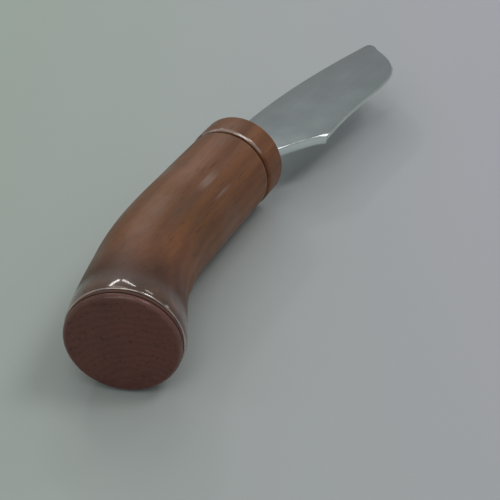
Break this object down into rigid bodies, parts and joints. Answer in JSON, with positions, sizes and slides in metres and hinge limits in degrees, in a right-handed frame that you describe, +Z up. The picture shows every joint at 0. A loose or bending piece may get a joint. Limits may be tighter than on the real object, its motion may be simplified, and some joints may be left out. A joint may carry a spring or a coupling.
{
  "type": "swivel knife",
  "caption": "Leatherworking knife with a curved hardwood grip, a flared butt, and a collar and blade that turn on a ball-bearing spindle.",
  "frame": {"origin": "centre of the bounding box's footprint, on the surface that the knife lies on", "axes": "+X along the swivel spindle toward the blade's tip, +Y toward the blade's spine, +Z up, square to the blade's flat"},
  "size_m": [0.2306, 0.0486, 0.0372],
  "materials": {
    "wood": "reddish-brown hardwood under a clear gloss lacquer",
    "end_wood": "darker end-grain hardwood under a clear lacquer",
    "blade_steel": "satin grey tool steel with a polished choil",
    "bright_steel": "ground bearing and fastener steel",
    "brass": "turned brass",
    "bronze": "turned bearing bronze",
    "fibre": "black vulcanised fibre",
    "felt": "dense grey felt"
  },
  "bodies": {
    "handle": {"grip": "wood", "bearing_housing": "brass", "dust_seal": "felt", "snap_ring": "bright_steel", "outer_race": "bright_steel", "rear_bush": "bronze", "pommel_cap": "end_wood", "pommel_spacer": "fibre", "pommel_stud": "bright_steel", "pommel_insert": "brass", "pommel_dowel": "end_wood"},
    "head": {"blade": "blade_steel", "collar": "wood", "spindle": "bright_steel", "tang_pin": "bright_steel", "pin_plug": "wood", "inner_race": "bright_steel", "thrust_washer": "bronze", "wave_washer": "bright_steel", "adjusting_nut": "bright_steel", "jam_nut": "bright_steel"},
    "ball_train": {"bearing_cage": "brass", "bearing_ball_1": "bright_steel", "bearing_ball_2": "bright_steel", "bearing_ball_3": "bright_steel", "bearing_ball_4": "bright_steel", "bearing_ball_5": "bright_steel", "bearing_ball_6": "bright_steel", "bearing_ball_7": "bright_steel"}
  },
  "joints": [
    {"name": "head_swivel", "type": "hinge", "parent": "handle", "child": "head", "pos_m": [-0.00709, 0.00769, 0.01861], "axis": [1, 0, 0], "continuous": true},
    {"name": "ball_orbit", "type": "hinge", "parent": "handle", "child": "ball_train", "pos_m": [-0.01619, 0.00769, 0.01861], "axis": [1, 0, 0], "continuous": true}
  ],
  "couplings": [
    {"joint": "ball_orbit", "follows": "head_swivel", "ratio": 0.375}
  ]
}
